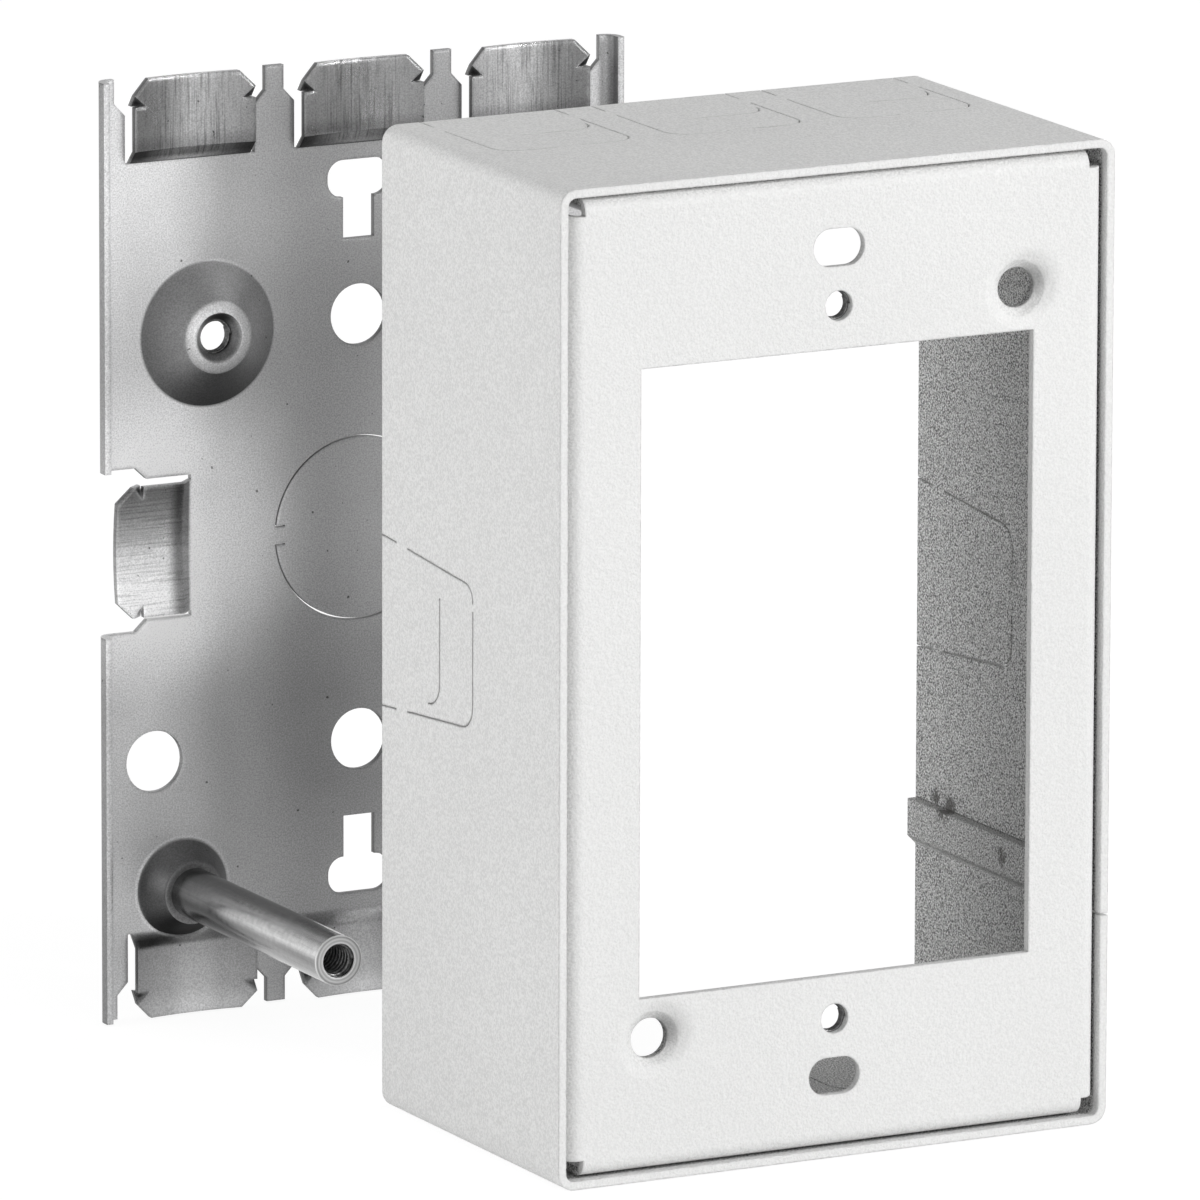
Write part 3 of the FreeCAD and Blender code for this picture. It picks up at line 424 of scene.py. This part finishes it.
def zinc_plate():
    """Galvanised steel: satin zinc with painted light and shade across the plate, tongues and
    domes, painted shade on faces that turn down and faces that turn left, streaks on the tongues
    and specks.
    """
    n = Nodes("zinc_plate")
    x, z = n.coordinate("X"), n.coordinate("Z")
    fine = n.noise(5200, 2, 0.65)
    tone = n.ramp(n.noise(45, 3, 0.55), (0.3, ZINC_LOW), (0.7, ZINC_HIGH))
    tone = n.times(tone, n.ramp(fine, (0.3, 0.78), (0.7, 1.16)))
    ends, sides, offset = tongue_zones(n, x, z)
    lower = n.math("LESS_THAN", z, BASE_Z * MM)
    # Painted light and shade across the plate and the tongues
    painted_light = n.mix(ends, plate_painted_light(n, x, z), end_tongue_painted_light(n, z, offset, lower))
    painted_light = n.mix(sides, painted_light, side_tongue_painted_light(n, x, z))
    tone = n.times(tone, painted_light)
    upper = n.product(ends, n.math("SUBTRACT", 1.0, lower), within(n, offset, 0, 5.6, 2.0))
    tone = streaked(n, upper, (3600, 700, 110), tone)
    tone = streaked(n, n.product(sides, 0.7), (110, 700, 4200), tone)
    tone = dome_painted_light(n, tone, x, z)
    tone = n.times(tone, n.ramp(n.noise(1500, 1, 0.3), (0.18, 0.3), (0.23, 1.0)))
    # Painted shade on faces that turn down and on faces that turn to the left
    under = n.ramp(n.math("ADD", n.towards((0, 0, 1)), 1.0), (0.3, 0.08), (0.8, 1.0))
    leftward = n.ramp(n.math("ADD", n.towards((1, 0, 0)), 1.0), (0.1, 0.42), (0.72, 1.0))
    tone = n.times(tone, n.times(under, leftward))
    n.join(tone, n.shader.inputs["Base Color"])
    n.shader.inputs["Metallic"].default_value = 1.0
    rough = n.math("MULTIPLY_ADD", n.math("MAXIMUM", ends, sides), -0.18, 0.43)
    rough = n.math("ADD", rough, n.product(n.noise(130, 3, 0.6), 0.06))
    n.join(rough, n.shader.inputs["Roughness"])
    n.join(n.bump(fine, 0.35, 0.03 * MM, n.soft_edges(0.6 * MM)), n.shader.inputs["Normal"])
    return n.material


def zinc_post():
    """Turned steel with zinc: lengthwise streaks, painted shade on the lower left flank, on the top
    and towards the root, turned rings on the end.
    """
    n = Nodes("zinc_post")
    y = n.coordinate("Y")
    streaks = n.noise(1.0, 3, 0.65, n.stretched((1900, 90, 1900)))
    mottle = n.noise(1300, 3, 0.6)
    tone = n.ramp(mottle, (0.3, 0.56), (0.7, 0.68))
    tone = n.times(tone, n.ramp(streaks, (0.3, 0.86), (0.65, 1.06)))
    # Painted shade: darker towards the root at the plate
    tone = n.times(tone, n.span(y, (WALL - 30) * MM, (WALL - 5) * MM, 1.0, 0.3))
    # Painted shade along the lower left flank and on the top
    flank = n.ramp(n.towards((-0.82, 0, -0.57)), (0.6, 1.0), (0.85, 0.42), (0.97, 0.5))
    upper = n.ramp(n.towards((0.1, 0, 0.99)), (0.45, 1.0), (0.9, 0.55))
    tone = n.times(tone, n.times(flank, upper))
    faced = n.math("LESS_THAN", y, (POST_END + 0.15) * MM)
    turned = n.math("MAXIMUM", *(around(n, BASE_X + SCREW_X * side, BASE_Z + SCREW_Z * side, 3.2)
                                 for side in SIDES))
    rings = n.ramp(turned, (0.06, 1.0), (0.12, 0.45), (0.2, 0.85), (0.26, 0.6), (0.34, 1.0))
    tone = n.mix(faced, tone, n.times(rings, (0.72, 0.72, 0.72)))
    n.join(tone, n.shader.inputs["Base Color"])
    n.shader.inputs["Metallic"].default_value = 1.0
    rough = n.mix(faced, n.ramp(mottle, (0.3, 0.13), (0.7, 0.21)), 0.6)
    n.join(rough, n.shader.inputs["Roughness"])
    n.join(n.bump(streaks, 0.04, 0.02 * MM, n.soft_edges(0.25 * MM)), n.shader.inputs["Normal"])
    return n.material


def dark_thread():
    """Oily cut thread: dark steel with brighter patches."""
    n = Nodes("dark_thread")
    n.join(n.ramp(n.noise(2400, 2, 0.6), (0.3, 0.1), (0.75, 0.26)), n.shader.inputs["Base Color"])
    n.shader.inputs["Metallic"].default_value = 1.0
    n.join(n.ramp(n.noise(900, 2, 0.5), (0.3, 0.3), (0.7, 0.5)), n.shader.inputs["Roughness"])
    return n.material


def give(material, *names):
    """One material for the whole of each node named."""
    for name in names:
        slots = NODES[name].data.materials
        slots.clear()
        slots.append(material)


# Threads

def keep_mesh(name, mesh, material):
    """Turn a bmesh into a smooth piece of the object."""
    data = bpy.data.meshes.new(name)
    mesh.to_mesh(data)
    mesh.free()
    for face in data.polygons:
        face.use_smooth = True
    item = bpy.data.objects.new(name, data)
    bpy.context.scene.collection.objects.link(item)
    item.data.materials.append(material)
    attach(item, "root")


def thread(name, mouth, material, slot, radius, length, pitch, depth):
    """A helical thread ridge on the wall of a bore that runs along Y, as a closed tube."""
    x, start, z = mouth
    steps = int(length / pitch * STEPS_PER_TURN)
    foot, crest = radius + THREAD_SUNK, radius - depth
    profile = [(foot, -pitch * FOOT_SHARE), (crest, -pitch * CREST_SHARE),
               (crest, pitch * CREST_SHARE), (foot, pitch * FOOT_SHARE)]
    mesh = bmesh.new()
    rows = []
    for step in range(steps + 1):
        angle = 2 * math.pi * step / STEPS_PER_TURN
        along = start + pitch * 0.5 + (length - pitch) * step / steps
        rows.append([mesh.verts.new(((x + r * math.cos(angle)) * MM, (along + lift) * MM,
                                     (z + r * math.sin(angle)) * MM)) for r, lift in profile])
    for first, second in zip(rows, rows[1:]):
        for i in range(len(profile)):
            j = (i + 1) % len(profile)
            mesh.faces.new((first[i], first[j], second[j], second[i]))
    mesh.faces.new(rows[0])
    mesh.faces.new(rows[-1][::-1])
    bmesh.ops.recalc_face_normals(mesh, faces=mesh.faces)
    keep_mesh(name, mesh, material)


def add_threads():
    """Threads in the posts' bores, the earth domes and the device holes."""
    dark = dark_thread()
    for side, post, dome, device in ((-1, "lower_left", "upper_left", "bottom"),
                                     (1, "upper_right", "lower_right", "top")):
        post_mouth = (BASE_X + SCREW_X * side, POST_END, BASE_Z + SCREW_Z * side)
        dome_mouth = (BASE_X + DOME_X * side, DOME_TOP, BASE_Z - DOME_Z * side)
        device_mouth = (COVER_X, DEVICE_MOUTH, COVER_Z + DEVICE_Z * side)
        thread("thread_post_" + post, post_mouth, dark, "posts", **POST_THREAD)
        thread("thread_earth_" + dome, dome_mouth, dark, "galvanised", **EARTH_THREAD)
        thread("thread_device_" + device, device_mouth, dark, "cover", **DEVICE_THREAD)


# Surroundings

def seen_directly(tree):
    """1 for rays from the camera and for those that metal and glass send out, else 0."""
    path = tree.nodes.new("ShaderNodeLightPath")
    total = path.outputs["Is Camera Ray"]
    for kind in ("Is Glossy Ray", "Is Transmission Ray"):
        larger = tree.nodes.new("ShaderNodeMath")
        larger.operation = "MAXIMUM"
        tree.links.new(total, larger.inputs[0])
        tree.links.new(path.outputs[kind], larger.inputs[1])
        total = larger.outputs[0]
    return total


def add_floor():
    """A white floor that stays white in the picture and keeps the object's faint shadow."""
    n = Nodes("white_floor")
    n.shader.inputs["Base Color"].default_value = (0.85, 0.85, 0.85, 1)
    n.shader.inputs["Roughness"].default_value = 0.9
    white = n.add("ShaderNodeEmission", Color=(1, 1, 1, 1), Strength=FLOOR_GLOW)
    mixer = n.add("ShaderNodeMixShader")
    n.join(n.product(seen_directly(n.tree), FLOOR_SHARE), mixer.inputs["Fac"])
    n.join(n.shader.outputs[0], mixer.inputs[1])
    n.join(white.outputs[0], mixer.inputs[2])
    n.join(mixer.outputs[0], n.tree.nodes["Material Output"].inputs["Surface"])
    bpy.ops.mesh.primitive_plane_add(size=FLOOR_SIDE, location=(0, 0, -FLOOR_DROP))
    floor = bpy.context.active_object
    floor.name = "floor"
    floor.data.materials.append(n.material)


def add_world():
    """Soft light all round; the camera sees white, and metal sees white below a dim ceiling."""
    world = bpy.data.worlds.new("studio")
    world.use_nodes = True
    bpy.context.scene.world = world
    tree = world.node_tree
    light = tree.nodes["Background"]
    light.inputs["Color"].default_value = (1, 1, 1, 1)
    light.inputs["Strength"].default_value = WORLD_LIGHT
    place = tree.nodes.new("ShaderNodeTexCoord")
    height = tree.nodes.new("ShaderNodeSeparateXYZ")
    tree.links.new(place.outputs["Generated"], height.inputs["Vector"])
    ceiling = tree.nodes.new("ShaderNodeMapRange")
    for name, value in (("From Min", 0.1), ("From Max", 0.55), ("To Min", 1.0), ("To Max", 0.35)):
        ceiling.inputs[name].default_value = value
    tree.links.new(height.outputs["Z"], ceiling.inputs["Value"])
    path = tree.nodes.new("ShaderNodeLightPath")
    level = tree.nodes.new("ShaderNodeMath")
    level.operation = "MAXIMUM"
    tree.links.new(ceiling.outputs[0], level.inputs[0])
    tree.links.new(path.outputs["Is Camera Ray"], level.inputs[1])
    white = tree.nodes.new("ShaderNodeBackground")
    white.inputs["Color"].default_value = (1, 1, 1, 1)
    tree.links.new(level.outputs[0], white.inputs["Strength"])
    mixer = tree.nodes.new("ShaderNodeMixShader")
    tree.links.new(seen_directly(tree), mixer.inputs["Fac"])
    tree.links.new(light.outputs[0], mixer.inputs[1])
    tree.links.new(white.outputs[0], mixer.inputs[2])
    tree.links.new(mixer.outputs[0], tree.nodes["World Output"].inputs["Surface"])


def add_lamps():
    """A weak lamp in front, a strong one at the right and a large one at the left."""
    for name, place, side, power in LAMPS:
        data = bpy.data.lights.new(name, "AREA")
        data.shape = "SQUARE"
        data.size = side
        data.energy = power
        lamp = bpy.data.objects.new(name, data)
        lamp.location = place
        lamp.rotation_euler = (LAMP_AIM - Vector(place)).to_track_quat("-Z", "Y").to_euler()
        bpy.context.scene.collection.objects.link(lamp)


set_camera()
give(powder_coat(), "cover_sleeve", "face_plate")
give(zinc_plate(), "base_plate")
give(zinc_post(), "post_lower_left", "post_upper_right")
add_threads()
add_floor()
add_world()
add_lamps()
bpy.context.scene.view_settings.view_transform = "Standard"
